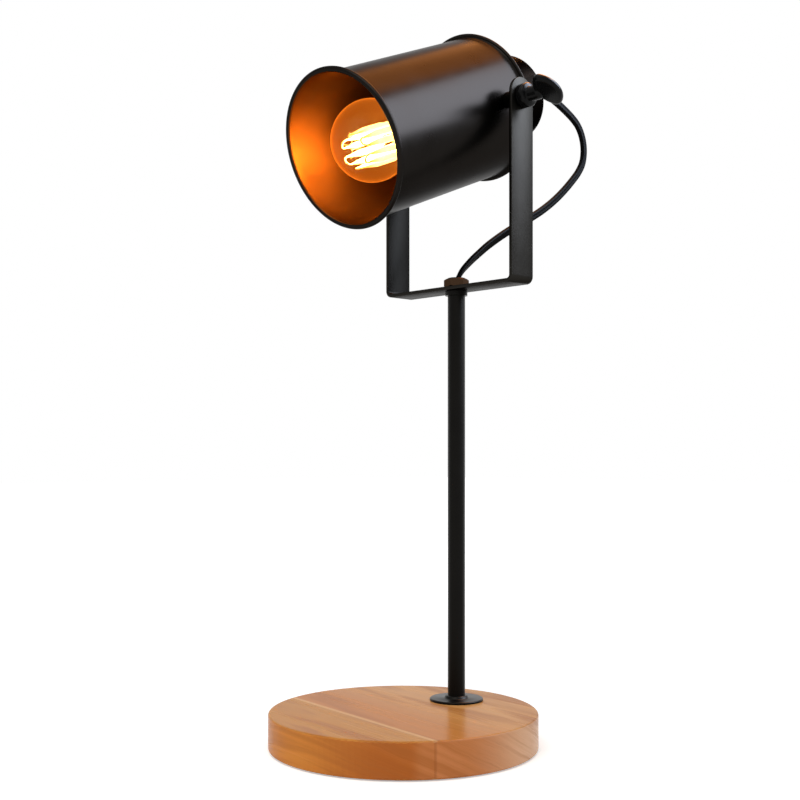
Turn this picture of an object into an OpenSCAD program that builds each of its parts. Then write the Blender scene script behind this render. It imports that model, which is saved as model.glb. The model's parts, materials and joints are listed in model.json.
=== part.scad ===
// Table lamp. A tubular spotlight head tilts in a U-shaped yoke, on a post that
// stands off centre on a round wooden foot. Millimetres, +Z up, the origin is
// under the centre of the foot, the head points to -Y and tilts about X.

/* [Foot] */
// Diameter of the wooden foot
foot_d = 150; // [140:1:180]
// Height of the foot's top above the table
foot_h = 20; // [18:0.5:30]
// Radius of the rounding on the foot's edges
foot_edge_r = 1; // [0.4:0.1:3]
// Thickness of the felt pad
pad_t = 0.5; // [0.5:0.1:2]
// Inset of the felt pad from the foot's edge
pad_inset = 3; // [2:0.5:8]
// Wood left above the pocket
pocket_roof = 6; // [4:0.5:8]
// Diameter of the pocket round the foot nut
pocket_d = 34; // [30:0.5:40]

/* [Terminals in the foot] */
// Width of the terminal block
block_w = 20; // [16:0.5:24]
// Length of the terminal block
block_l = 16; // [12:0.5:20]
// Height of the terminal block
block_h = 8.5; // [7:0.5:9]
// Distance of the terminal block in front of the post
block_reach = 28; // [26:0.5:32]
// Diameter of the terminal screws
terminal_screw_d = 3.4; // [2.5:0.1:4]
// Diameter of the wood screw that holds the block
wood_screw_d = 3; // [2.5:0.1:3.5]
// Depth of the wood screw above the pocket's roof
wood_screw_bite = 3.5; // [2:0.5:3.5]

/* [Mains outlet] */
// Height of the outlet's axis above the table
outlet_z = 7.5; // [6.5:0.1:8]
// Bore of the outlet grommet
outlet_bore = 6.8; // [5.5:0.1:7]
// Outside diameter of the grommet's body
grommet_d = 8.8; // [8.4:0.1:9]
// Diameter of the grommet's collar
grommet_collar_d = 12.4; // [11:0.1:12.5]
// Thickness of the grommet's collar
grommet_collar_t = 1.4; // [1:0.1:2]

/* [Post] */
// Distance of the post behind the foot's centre
post_offset = 42.6; // [38:0.1:46]
// Outside diameter of the post
post_d = 10.1; // [9:0.1:11]
// Wall of the post
post_wall = 1; // [0.8:0.1:1.2]
// Height of the crossbar's underside above the table
crossbar_z = 257.7; // [220:0.1:300]
// Length of the post that shows past each end nut
post_proud = 0.5; // [0.2:0.1:1]
// Diameter of the rose on the foot
rose_d = 31; // [28:0.1:36]
// Thickness of the rose
rose_t = 1.5; // [1.2:0.1:3]
// Diameter of the rose's collar
rose_collar_d = 13.4; // [12.8:0.1:15]
// Height of the rose's collar above the rose
rose_collar_h = 1.6; // [1:0.1:3]

/* [Nuts on the post] */
// Width across flats of the nut on the crossbar
top_nut_af = 12.6; // [12.4:0.1:14]
// Height of the nut on the crossbar
top_nut_h = 4.8; // [4:0.1:6]
// Turn of the nut on the crossbar, in degrees
top_nut_turn = 16; // [0:1:60]
// Diameter of the round lock nut under the crossbar
lock_nut_d = 12.8; // [12.4:0.1:15]
// Height of the round lock nut
lock_nut_h = 2.6; // [2:0.1:4]
// Width across flats of the foot nut
foot_nut_af = 14; // [13.5:0.5:16]
// Height of the foot nut
foot_nut_h = 4; // [3:0.1:4.5]
// Diameter of the washer on the foot nut
foot_washer_d = 24; // [20:0.5:28]
// Thickness of the washer on the foot nut
foot_washer_t = 1.5; // [1:0.1:2]

/* [Yoke] */
// Gap between the shade's tube and each leg
leg_gap = 8.3; // [6:0.1:12]
// Width of the yoke's strip
strip_w = 18; // [15:0.1:20]
// Thickness of the yoke's strip
strip_t = 2; // [1.5:0.1:2.5]
// Outside radius of the yoke's bends
bend_r = 4; // [3:0.1:8]
// Height of the pivot above the crossbar's underside
pivot_rise = 102.7; // [98:0.1:115]
// Height of the legs' round tops above the pivot
leg_top = 10.6; // [10:0.1:16]

/* [Shade] */
// Tilt of the head below level at rest
head_tilt = 22; // [0:1:40]
// Outside diameter of the shade's tube
shade_d = 80.6; // [76:0.1:84]
// Thickness of the shade's sheet
shade_wall = 1; // [0.8:0.1:1.2]
// Distance from the pivot to the mouth's rim
mouth_reach = 94.9; // [90:0.1:105]
// Outside diameter of the mouth's rim
mouth_d = 87.6; // [86:0.1:90]
// Distance from the pivot to the rear rim
tail_reach = 17.4; // [16.5:0.1:22]
// Outside diameter of the rear rim
tail_d = 85.2; // [85:0.1:88]
// Radius of the flare at both rims
flare_r = 6; // [5:0.1:7]
// Radius of the rolled edge on both rims
bead_r = 1.15; // [0.8:0.05:1.6]

/* [Rear of the head] */
// Distance from the pivot to the back of the rear plate
plate_back = 10.4; // [9:0.1:11]
// Thickness of the rear plate
plate_t = 1; // [0.8:0.1:1.5]
// Gap between the rear plate's skirt and the pivot nuts
skirt_gap = 0.4; // [0.2:0.1:1]
// Diameter of the vents in the rear plate
vent_d = 5; // [3:0.1:5]
// Number of vents in the rear plate
vent_count = 12; // [6:1:16]
// Outside diameter of the socket cup
cup_d = 50.4; // [48:0.1:52]
// Distance from the pivot to the socket cup's end
cup_reach = 52.6; // [46:0.1:56]
// Sheet of the socket cup
cup_wall = 1; // [0.8:0.1:1.5]
// Radius of the socket cup's rear edge
cup_edge_r = 3; // [2:0.1:5]
// Width of the socket cup's flange
cup_flange = 5.6; // [5:0.1:5.6]
// Diameter of the flange screws
flange_screw_d = 3; // [2.5:0.1:3]
// Length of the flange screws behind their heads
flange_screw_l = 6; // [5:0.5:8]
// Length of the strain relief behind the socket cup
relief_l = 20; // [20:0.5:30]
// Diameter of the strain relief at the socket cup
relief_d = 12; // [11:0.1:14]
// Diameter of the strain relief where the cord leaves it
relief_tip_d = 7; // [6.5:0.1:8]

/* [Lampholder] */
// Length of the lampholder
holder_l = 49; // [46:0.5:52]
// Outside diameter of the lampholder's body
holder_d = 36; // [34:0.1:38]
// Diameter of the lampholder's foot
holder_foot_d = 48; // [47.5:0.1:50]
// Thickness of the lampholder's foot
holder_foot_t = 4; // [3:0.1:5]
// Sheet of the screw shell
shell_t = 0.7; // [0.5:0.1:0.8]
// Diameter of the lampholder's screws
holder_screw_d = 3; // [2.5:0.1:3]

/* [Bulb] */
// Diameter of the bulb's globe
bulb_d = 44.8; // [40:0.1:50]
// Length of the bulb from contact to tip
bulb_l = 76; // [74:0.1:78]
// Distance from the pivot to the globe's centre
bulb_reach = 71.6; // [69:0.1:72]
// Wall of the bulb's glass
glass_t = 0.8; // [0.5:0.1:1]
// Outside diameter of the cap's screw thread
cap_d = 26.4; // [26:0.1:26.8]
// Diameter of the filament wire
filament_d = 1; // [0.6:0.1:1.2]
// Radius of the filament cage
cage_r = 8.5; // [7:0.1:10]
// Number of filament strands
strands = 10; // [8:2:12]

/* [Pivot screws] */
// Diameter of the pivot screws' shanks
pivot_screw_d = 5.9; // [5:0.1:6.5]
// Outside diameter of the spacers between shade and legs
spacer_d = 9; // [8.5:0.1:11]
// Width across flats of the pivot nuts in the shade
pivot_nut_af = 10; // [10:0.1:12]
// Height of the pivot nuts
pivot_nut_h = 4.5; // [4:0.1:6]
// Diameter of the thumb screws' hubs
hub_d = 13.2; // [11:0.1:14]
// Length of the thumb screws' hubs
hub_l = 5.3; // [4:0.1:7]
// Diameter of the thumb screws' necks
neck_d = 8.4; // [7.8:0.1:10]
// Length of the necks between hub and paddle
neck_l = 5.2; // [3:0.1:7]
// Length of the oval paddles
paddle_l = 23; // [18:0.5:24]
// Width of the oval paddles along the screw
paddle_w = 14.8; // [11:0.1:16]
// Thickness of the oval paddles
paddle_t = 4.2; // [3:0.1:5]
// Radius of the oval paddles' narrow ends
paddle_end_r = 3.8; // [3:0.1:4.5]
// Turn of the right paddle below level at rest
right_paddle_turn = 27; // [0:1:90]
// Turn of the left paddle below level at rest
left_paddle_turn = 62; // [0:1:90]

/* [Cord] */
// Width of the flat twin cord
cord_w = 4.8; // [4.6:0.1:5.2]
// Thickness of the flat twin cord
cord_t = 3.2; // [2.8:0.1:3.4]
// Diameter of one insulated core
core_d = 2.2; // [1.8:0.1:2.4]

/* [Clearances] */
// Radial clearance of a shank that turns in its hole
run_gap = 0.06; // [0.03:0.01:0.1]
// Gap between flat faces that turn on each other
face_gap = 0.2; // [0.1:0.05:0.3]
// Radial gap of round pieces that are fixed in each other
seat_gap = 0.08; // [0.05:0.01:0.15]

/* [Hidden] */
$fn = 72;
cut = 1;

// Places on the post
pivot_z = crossbar_z + pivot_rise;
crossbar_top = crossbar_z + strip_t;
top_nut_z = crossbar_top + face_gap;
post_top = top_nut_z + top_nut_h + post_proud;
pocket_top = foot_h - pocket_roof;
foot_nut_z = pocket_top - foot_washer_t - foot_nut_h;
post_foot = foot_nut_z - post_proud;
post_hole_r = post_d / 2 + seat_gap;
post_bore_r = post_d / 2 - post_wall;

// Places in the foot
pocket_back = post_offset + pocket_d / 2;
outlet_face = foot_d / 2 - grommet_collar_t;
grommet_hole_r = grommet_d / 2 + seat_gap;
block_y = post_offset - block_reach;
block_z = pocket_top - block_h;
block_room = 3;
block_screw_pitch = block_w / 2;

// Places across the yoke
leg_inner = shade_d / 2 + leg_gap;
leg_outer = leg_inner + strip_t;
yoke_w = 2 * leg_outer;
shank_r = pivot_screw_d / 2;
shank_hole_r = shank_r + run_gap;
shade_r = shade_d / 2;
shade_bore_r = shade_r - shade_wall;
pivot_nut_face = sqrt(pow(shade_bore_r, 2) - pow(pivot_nut_af / 2, 2)) - seat_gap;
shank_start = pivot_nut_face - pivot_nut_h - cut;
hub_start = leg_outer + face_gap;
neck_start = hub_start + hub_l;
paddle_start = neck_start + neck_l;
stud_end = paddle_start + paddle_w / 8;
paddle_end_x = paddle_l / 2 - paddle_end_r;
paddle_side_r = (pow(paddle_end_x, 2) + pow(paddle_w / 2, 2) - pow(paddle_end_r, 2))
    / (paddle_w - 2 * paddle_end_r);

// Places along the head, measured from the pivot towards the mouth
plate_front = plate_t - plate_back;
plate_skirt = plate_back - plate_t - pivot_nut_af / 2 / cos(30) - skirt_gap;
cup_flange_r = cup_d / 2 + cup_flange;
flange_screw_r = cup_d / 2 + cup_flange / 2;
flange_screw_head_d = 1.7 * flange_screw_d;
flange_screw_head_h = 0.6 * flange_screw_d;
plate_hole_r = 0.65 * holder_d / 2;
vent_r = (cup_flange_r + shade_bore_r - plate_t) / 2;
holder_front = plate_front + holder_l;
shell_r = cap_d / 2 + shell_t + 0.4;
holder_bore_r = shell_r + seat_gap;
contact_s = bulb_reach + bulb_d / 2 - bulb_l;
contact_leaf_t = 0.5;
holder_floor = contact_s - 3;
shell_front = holder_front - 3;
shell_back = contact_s + 2;
holder_screw_head_d = 1.7 * holder_screw_d;
holder_screw_x = holder_d / 2 + holder_screw_head_d / 2 + skirt_gap;
relief_neck_r = 0.36 * relief_d;
relief_inner_t = 2.6;
relief_inner_s = relief_inner_t + cup_wall - cup_reach;
relief_tip_s = -cup_reach - relief_l;
core_x = 9;
core_hole_r = core_d / 2 + 4 * seat_gap;
core_end_s = holder_floor - 4;

// Parts of the bulb, from its contact to its tip
tip_r = 4.5;
tip_h = 1.2;
insulator_h = 3;
insulator_r = 10.5;
cap_back = contact_s + tip_h + insulator_h;
cap_h = 23;
cap_front = cap_back + cap_h;
cap_wall = 0.6;
cap_lip = 1;
cap_collar_h = 2.4;
thread_pitch = 3.6;
thread_depth = 1.1;
thread_turns = 5;
bulb_r = bulb_d / 2;
neck_glass_r = cap_d / 2 - 0.6;
skirt_r = cap_d / 2 - thread_depth - cap_wall - seat_gap;
skirt_h = 3;
globe_angle = 135;
stem_r = 1.6;
cage_front = bulb_reach + 0.68 * bulb_r;
cage_back = bulb_reach - 0.78 * bulb_r;
support_d = 0.6;

// The free cord's route in the lamp's middle plane, as distance behind the
// foot's centre and height, from the post's bore to the strain relief
cord_join_z = 244;
cord_route = [
    [42.3, 248], [41.8, 252], [41.6, 256], [42, 260], [43.3, 264], [45.4, 267.6], [48.1, 270.8],
    [51.7, 274], [56.2, 277.7], [62, 282], [69, 287], [77.6, 292.4], [86.6, 297.6], [96, 302.6],
    [106, 307.8], [116, 313.2], [125.4, 319], [134, 325.1], [142, 331.6], [149, 338], [154.9, 344],
    [159.2, 350.2], [161, 356.5], [160.9, 363], [158.9, 369.2], [155.1, 374.5], [149.9, 378.2],
    [143, 381.6], [134.6, 385], [126.6, 387.7], [120.8, 388.9], [115.2, 388.9]
];
relief_end = [
    post_offset - relief_tip_s * cos(head_tilt),
    pivot_z - relief_tip_s * sin(head_tilt)
];

// The lead in the foot and the post, in the same plane
lead_start = [block_y + block_l / 2, block_z + block_h / 2];
lead_route = [
    [27, 9.2], [31, 7.6], [35, 5.8], [38.4, 5.4], [40.9, 7], [42.2, 10], [42.6, 14],
    [42.6, 24], [42.6, 60], [42.6, 100], [42.6, 140], [42.6, 180], [42.6, 215]
];

// One insulated core in the socket cup, as distance from the axis and share of
// the way from the strain relief to the rear plate
core_start = relief_inner_s + skirt_gap;
core_span = -plate_back - core_start;
core_shares = [[1.4, 0], [1.9, 0.12], [3.6, 0.32], [6.2, 0.55], [8.2, 0.78], [9, 1]];
core_route = [for (p = core_shares) [p.x, core_start + p.y * core_span]];

// Points of an arc about c, from angle a0 to angle a1, in n steps
function arc(c, r, a0, a1, n) =
    [for (i = [0:n]) c + r * [cos(a0 + (a1 - a0) * i / n), sin(a0 + (a1 - a0) * i / n)]];

// Direction of a plane route at its point i, with the end directions given
function heading(route, i, first, last) =
    let (n = len(route) - 1, d = i == 0 ? first : i == n ? last : route[i + 1] - route[i - 1])
    d / norm(d);

// Flat cord swept along a plane route in XY. It is w wide in the plane and t
// thick across it, and starts turned about its own line by twist degrees, which
// it loses over the first turned rings.
module flat_cord(route, first, last, w, t, twist = 0, turned = 1, sides = 8) {
    n = len(route) - 1;
    points = [
        for (i = [0:n])
            let (d = heading(route, i, first, last), turn = twist * max(0, 1 - i / turned))
            for (k = [0:sides - 1])
                let (
                    a = 360 * (k + 0.5) / sides,
                    u = w / 2 * cos(a) * cos(turn) - t / 2 * sin(a) * sin(turn),
                    v = w / 2 * cos(a) * sin(turn) + t / 2 * sin(a) * cos(turn)
                )
                [route[i].x - d.y * u, route[i].y + d.x * u, v]
    ];
    walls = [
        for (i = [0:n - 1])
            for (k = [0:sides - 1])
                let (a = i * sides + k, b = i * sides + (k + 1) % sides)
                for (f = [[a, b, b + sides], [a, b + sides, a + sides]]) f
    ];
    caps = [
        for (k = [1:sides - 2])
            for (f = [[0, k + 1, k], [n * sides, n * sides + k, n * sides + k + 1]]) f
    ];
    polyhedron(points, concat(walls, caps));
}

// Places of the bodies
module at_post(z = 0) { translate([0, post_offset, z]) children(); }

// Turns XY into the lamp's middle plane, X behind the foot's centre and Y up
module in_middle_plane() { rotate([90, 0, 90]) children(); }

// Points +Z from the pivot towards the mouth, with +Y up
module along_head(s = 0) {
    at_post(pivot_z) rotate([head_tilt + 90, 0, 0]) translate([0, 0, s]) children();
}

// Points +Z from the pivot out to one side, with side 1 to +X and -1 to -X
module along_pivot(side, x = 0) {
    at_post(pivot_z) rotate([0, side * 90, 0]) translate([0, 0, x]) children();
}

module hex(af, h) { cylinder(d = af / cos(30), h = h, $fn = 6); }

module wood_foot() {
    color("burlywood") difference() {
        rotate_extrude() {
            difference() {
                translate([0, pad_t]) square([foot_d / 2, foot_h - pad_t]);
                for (end = [0, 1]) {
                    translate([foot_d / 2 - foot_edge_r, end ? foot_h - foot_edge_r : pad_t - cut])
                        square(foot_edge_r + cut);
                }
            }
            for (z = [pad_t + foot_edge_r, foot_h - foot_edge_r])
                translate([foot_d / 2 - foot_edge_r, z]) circle(foot_edge_r);
        }
        at_post(-cut) cylinder(r = post_hole_r, h = foot_h + 2 * cut);
        at_post(-cut) cylinder(d = pocket_d, h = pocket_top + cut);
        translate([-block_w / 2 - block_room, block_y - block_l / 2 - block_room, -cut])
            cube([block_w + 2 * block_room, block_reach + block_l / 2 + block_room, pocket_top + cut]);
        translate([0, block_y, 0]) cylinder(d = wood_screw_d + 2 * seat_gap, h = pocket_top + wood_screw_bite);
        translate([0, post_offset, outlet_z]) rotate([-90, 0, 0])
            cylinder(r = grommet_hole_r, h = foot_d / 2);
        translate([0, outlet_face, outlet_z]) rotate([-90, 0, 0])
            cylinder(d = grommet_collar_d + 2 * seat_gap, h = foot_d / 2);
    }
}

module felt_pad() {
    color("dimgray") cylinder(d = foot_d - 2 * pad_inset, h = pad_t);
}

module rose() {
    color("black") at_post(foot_h) difference() {
        rotate_extrude() polygon(concat(
            [[0, 0], [rose_d / 2, 0]],
            arc([rose_d / 2 - rose_t / 2, rose_t / 2], rose_t / 2, 0, 90, 6),
            [[rose_collar_d / 2, rose_t], [rose_collar_d / 2, rose_t + rose_collar_h]],
            [[0, rose_t + rose_collar_h]]
        ));
        translate([0, 0, -cut]) cylinder(r = post_hole_r, h = foot_h);
    }
}

module post() {
    color("black") at_post(post_foot) difference() {
        cylinder(d = post_d, h = post_top - post_foot);
        translate([0, 0, -cut]) cylinder(r = post_bore_r, h = post_top - post_foot + 2 * cut);
    }
}

module foot_washer() {
    color("silver") at_post(pocket_top - foot_washer_t) difference() {
        cylinder(d = foot_washer_d, h = foot_washer_t);
        translate([0, 0, -cut]) cylinder(r = post_hole_r, h = foot_washer_t + 2 * cut);
    }
}

module foot_nut() {
    color("silver") at_post(foot_nut_z) difference() {
        hex(foot_nut_af, foot_nut_h);
        translate([0, 0, -cut]) cylinder(r = post_hole_r, h = foot_nut_h + 2 * cut);
    }
}

// Places of the four terminal screws
module at_terminals() {
    for (x = [-1, 1], y = [-1, 1])
        translate([x * block_screw_pitch / 2, block_y + y * block_l / 3.2, block_z]) children();
}

terminal_screw_h = block_h / 2;

module terminal_block() {
    color("white") difference() {
        translate([-block_w / 2, block_y - block_l / 2, block_z]) cube([block_w, block_l, block_h]);
        at_terminals() translate([0, 0, -cut])
            cylinder(d = terminal_screw_d + 2 * seat_gap, h = terminal_screw_h + cut);
        translate([0, block_y, block_z - cut])
            cylinder(d = wood_screw_d + 2 * seat_gap, h = block_h + 2 * cut);
    }
}

module terminal_screws() {
    color("goldenrod") at_terminals() difference() {
        cylinder(d = terminal_screw_d, h = terminal_screw_h);
        translate([-terminal_screw_d, -0.3, -cut]) cube([2 * terminal_screw_d, 0.6, cut + 0.6]);
    }
}

module block_screw() {
    head_h = 1.4;
    color("silver") translate([0, block_y, block_z - head_h]) {
        cylinder(d = 2 * wood_screw_d, h = head_h);
        cylinder(d = wood_screw_d, h = head_h + block_h + wood_screw_bite - seat_gap);
    }
}

module outlet_grommet() {
    color("black") translate([0, 0, outlet_z]) rotate([-90, 0, 0]) difference() {
        union() {
            translate([0, 0, pocket_back]) cylinder(d = grommet_d, h = outlet_face - pocket_back);
            translate([0, 0, outlet_face]) cylinder(d = grommet_collar_d, h = grommet_collar_t);
        }
        translate([0, 0, pocket_back - cut]) cylinder(d = outlet_bore, h = foot_d);
    }
}

module post_lead() {
    route = concat([lead_start], lead_route, [[post_offset, cord_join_z]]);
    color("black") in_middle_plane()
        flat_cord(route, [1, 0], [0, 1], cord_t, cord_w);
}

module lock_nut() {
    color("black") at_post(crossbar_z - face_gap - lock_nut_h) difference() {
        cylinder(d = lock_nut_d, h = lock_nut_h);
        translate([0, 0, -cut]) cylinder(r = post_hole_r, h = lock_nut_h + 2 * cut);
    }
}

module top_nut() {
    color("black") at_post(top_nut_z) rotate([0, 0, top_nut_turn]) difference() {
        hex(top_nut_af, top_nut_h);
        translate([0, 0, -cut]) cylinder(r = post_hole_r, h = top_nut_h + 2 * cut);
    }
}

// Outline of the yoke's inside or outside, with round lower corners
module u_outline(w, h, r) {
    translate([-w / 2, r]) square([w, h - r]);
    translate([r - w / 2, 0]) square([w - 2 * r, h]);
    for (x = [r - w / 2, w / 2 - r]) translate([x, r]) circle(r);
}

module yoke() {
    leg_h = pivot_rise + leg_top;
    color("black") at_post(crossbar_z) difference() {
        intersection() {
            rotate([90, 0, 0]) linear_extrude(strip_w, center = true) difference() {
                u_outline(yoke_w, leg_h, bend_r);
                translate([0, strip_t])
                    u_outline(yoke_w - 2 * strip_t, leg_h, bend_r - strip_t);
            }
            union() {
                translate([-yoke_w, -strip_w, -cut])
                    cube([2 * yoke_w, 2 * strip_w, leg_h - strip_w / 2 + cut]);
                translate([0, 0, leg_h - strip_w / 2]) rotate([0, 90, 0])
                    cylinder(d = strip_w, h = 2 * yoke_w, center = true);
            }
        }
        translate([0, 0, -cut]) cylinder(r = post_d / 2 + run_gap, h = strip_t + 2 * cut);
        translate([0, 0, pivot_rise]) rotate([0, 90, 0])
            cylinder(r = shank_hole_r, h = 2 * yoke_w, center = true);
    }
}

module head_cord() {
    route = concat([[post_offset, cord_join_z]], cord_route, [relief_end]);
    color("black") in_middle_plane()
        flat_cord(route, [0, 1], [-cos(head_tilt), -sin(head_tilt)], cord_w, cord_t, 90, 14);
}

// Rim of the shade: the flare's centre and the angle where its sheet ends
function flare_end(rim_d) =
    acos((rim_d / 2 - bead_r - shade_r - flare_r) / (flare_r + shade_wall / 2));
function flare_drop(rim_d) = bead_r + (flare_r + shade_wall / 2) * sin(flare_end(rim_d));

module shade() {
    mouth_c = [shade_r + flare_r, mouth_reach - flare_drop(mouth_d)];
    tail_c = [shade_r + flare_r, flare_drop(tail_d) - tail_reach];
    mouth_a = flare_end(mouth_d);
    tail_a = 360 - flare_end(tail_d);
    middle_r = flare_r + shade_wall / 2;
    inner_r = flare_r + shade_wall;
    steps = 10;
    color("black") along_head() difference() {
        rotate_extrude() {
            polygon(concat(
                arc(tail_c, flare_r, tail_a, 180, steps),
                arc(mouth_c, flare_r, 180, mouth_a, steps),
                arc(mouth_c, inner_r, mouth_a, 180, steps),
                arc(tail_c, inner_r, 180, tail_a, steps)
            ));
            translate(mouth_c + middle_r * [cos(mouth_a), sin(mouth_a)]) circle(bead_r);
            translate(tail_c + middle_r * [cos(tail_a), sin(tail_a)]) circle(bead_r);
        }
        rotate([0, 90, 0]) cylinder(r = shank_hole_r, h = 2 * shade_d, center = true);
    }
}

// Places of the socket cup's flange screws
module at_flange_screws() {
    for (a = [90, 210, 330]) rotate([0, 0, a]) translate([flange_screw_r, 0, 0]) children();
}

// Places of the lampholder's screws
module at_holder_screws() {
    for (y = [-1, 1]) translate([0, y * holder_screw_x, 0]) children();
}

module rear_plate() {
    rim_r = shade_bore_r - seat_gap;
    color("black") along_head(-plate_back) difference() {
        union() {
            cylinder(r = rim_r, h = plate_t);
            difference() {
                cylinder(r = rim_r, h = plate_t + plate_skirt);
                cylinder(r = rim_r - plate_t, h = plate_t + plate_skirt + cut);
            }
        }
        translate([0, 0, -cut]) cylinder(r = plate_hole_r, h = plate_t + 2 * cut);
        for (i = [0:vent_count - 1])
            rotate([0, 0, 360 * (i + 0.5) / vent_count]) translate([vent_r, 0, -cut])
                cylinder(d = vent_d, h = plate_t + 2 * cut);
        at_flange_screws() translate([0, 0, -cut])
            cylinder(d = flange_screw_d + 2 * seat_gap, h = plate_t + 2 * cut);
        at_holder_screws() translate([0, 0, -cut])
            cylinder(d = holder_screw_d + 2 * seat_gap, h = plate_t + 2 * cut);
    }
}

module socket_cup() {
    back = -cup_reach;
    rim = -plate_back;
    r = cup_d / 2;
    color("black") along_head() difference() {
        rotate_extrude() polygon(concat(
            [[0, back]],
            arc([r - cup_edge_r, back + cup_edge_r], cup_edge_r, -90, 0, 8),
            [[r, rim - cup_wall], [cup_flange_r, rim - cup_wall], [cup_flange_r, rim]],
            [[r - cup_wall, rim]],
            arc([r - cup_edge_r, back + cup_edge_r], cup_edge_r - cup_wall, 0, -90, 8),
            [[0, back + cup_wall]]
        ));
        translate([0, 0, back - cut]) cylinder(r = relief_neck_r + seat_gap, h = cup_wall + 2 * cut);
        at_flange_screws() translate([0, 0, rim - cup_wall - cut])
            cylinder(d = flange_screw_d + 2 * seat_gap, h = cup_wall + 2 * cut);
    }
}

module flange_screws() {
    seat = -plate_back - cup_wall;
    color("dimgray") along_head(seat) at_flange_screws() {
        translate([0, 0, -flange_screw_head_h]) cylinder(d = flange_screw_head_d, h = flange_screw_head_h);
        translate([0, 0, -flange_screw_head_h])
            cylinder(d = flange_screw_d, h = flange_screw_head_h + flange_screw_l);
    }
}

module lampholder() {
    color("black") along_head() difference() {
        rotate_extrude() polygon([
            [0, plate_front], [holder_foot_d / 2, plate_front],
            [holder_foot_d / 2, plate_front + holder_foot_t],
            [holder_d / 2, plate_front + holder_foot_t], [holder_d / 2, holder_front],
            [holder_bore_r, holder_front], [holder_bore_r, holder_floor], [0, holder_floor]
        ]);
        for (x = [-core_x, core_x]) translate([x, 0, plate_front - cut])
            cylinder(r = core_hole_r, h = core_end_s - plate_front + 2 * cut);
        at_holder_screws() translate([0, 0, plate_front - cut])
            cylinder(d = holder_screw_d + 2 * seat_gap, h = holder_foot_t + 2 * cut);
    }
}

module holder_screws() {
    head_h = 0.6 * holder_screw_d;
    top = plate_front + holder_foot_t;
    color("silver") along_head() at_holder_screws() {
        translate([0, 0, top]) cylinder(d = holder_screw_head_d, h = head_h);
        translate([0, 0, -plate_back - 2]) cylinder(d = holder_screw_d, h = top + head_h + plate_back + 2);
    }
}

module screw_shell() {
    color("goldenrod") along_head(shell_back) difference() {
        cylinder(r = shell_r, h = shell_front - shell_back);
        translate([0, 0, -cut]) cylinder(r = shell_r - shell_t, h = shell_front - shell_back + 2 * cut);
    }
}

module centre_contact() {
    rise = contact_s - holder_floor - seat_gap;
    color("goldenrod") along_head(holder_floor) {
        cylinder(r = 2.4, h = rise - contact_leaf_t);
        translate([-3.5, -5, rise - contact_leaf_t]) cube([7, 10, contact_leaf_t]);
    }
}

module bulb_glass() {
    globe = [0, bulb_reach];
    inner_r = bulb_r - glass_t;
    neck_s = cap_front + seat_gap;
    color("orange", 0.6) along_head() rotate_extrude() polygon(concat(
        arc(globe, bulb_r, 90, 90 - globe_angle, 24),
        [[neck_glass_r + 0.7, neck_s + 4], [neck_glass_r, neck_s + 1.5], [neck_glass_r, neck_s]],
        [[skirt_r, neck_s], [skirt_r, neck_s - skirt_h], [skirt_r - glass_t, neck_s - skirt_h]],
        [[skirt_r - glass_t, neck_s + 1.5], [neck_glass_r + 0.7 - glass_t, neck_s + 4.5]],
        arc(globe, inner_r, 90 - globe_angle, 90, 24)
    ));
}

module bulb_cap() {
    r = cap_d / 2;
    thread_start = cap_back + cap_lip;
    color("silver") along_head() rotate_extrude() polygon(concat(
        [[insulator_r, cap_back]],
        [for (i = [0:thread_turns - 1]) for (p = [[0.15, 1], [0.35, 0], [0.65, 0], [0.85, 1]])
            [r - thread_depth * p[1], thread_start + thread_pitch * (i + p[0])]],
        [[r, cap_front - cap_collar_h], [r, cap_front]],
        [[r - thread_depth - cap_wall, cap_front], [r - thread_depth - cap_wall, cap_back + cap_lip]],
        [[insulator_r, cap_back + cap_lip]]
    ));
}

module bulb_insulator() {
    color("black") along_head(contact_s + tip_h)
        cylinder(r1 = tip_r + 1, r2 = insulator_r, h = insulator_h);
}

module bulb_contact() {
    color("silver") along_head(contact_s) cylinder(r1 = tip_r - 1, r2 = tip_r, h = tip_h);
}

// Where hairpin i of the filament cage turns back: even ones in front
function hairpin_s(i) = i % 2 == 0 ? cage_front : cage_back;
strand_step = 360 / strands;
hairpin_r = cage_r * sin(strand_step / 2);

module bulb_stem() {
    hairpin_mid_r = cage_r * cos(strand_step / 2);
    stem_foot = cap_front + seat_gap - skirt_h;
    color("white", 0.7) along_head() {
        translate([0, 0, stem_foot]) cylinder(r = skirt_r - glass_t - seat_gap, h = 1.5);
        translate([0, 0, stem_foot]) cylinder(r = 3.4, h = cage_back - stem_foot - 4);
        translate([0, 0, stem_foot]) cylinder(r = stem_r, h = cage_front - stem_foot + support_d);
        for (i = [0:strands - 2])
            translate([0, 0, hairpin_s(i) + (i % 2 == 0 ? -1 : 1) * filament_d])
                rotate([0, 90, strand_step * (i + 0.5)])
                    cylinder(d = support_d, h = hairpin_mid_r - filament_d / 2 - seat_gap);
    }
}

// Point and direction of hairpin i at angle a, from strand i to strand i + 1
function strand_at(i) = cage_r * [cos(strand_step * i), sin(strand_step * i), 0];
function hairpin_side(i) = i % 2 == 0 ? 1 : -1;
function hairpin_point(i, a) =
    let (p = strand_at(i), q = strand_at(i + 1), side = hairpin_side(i))
    (p + q) / 2 - cos(a) * (q - p) / 2
        + [0, 0, hairpin_s(i) + side * hairpin_r * (sin(a) - 1)];
function hairpin_heading(i, a) =
    let (e = strand_at(i + 1) - strand_at(i), d = sin(a) * e / norm(e) + [0, 0, hairpin_side(i) * cos(a)])
    d / norm(d);

// Ring of the filament's tube about point p, square to direction d
function filament_ring(p, d, sides) =
    let (out = [p.x, p.y, 0] / norm([p.x, p.y]), across = cross(d, out))
    [for (k = [0:sides - 1])
        p + filament_d / 2 * (cos(360 * k / sides) * out + sin(360 * k / sides) * across)];

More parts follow.
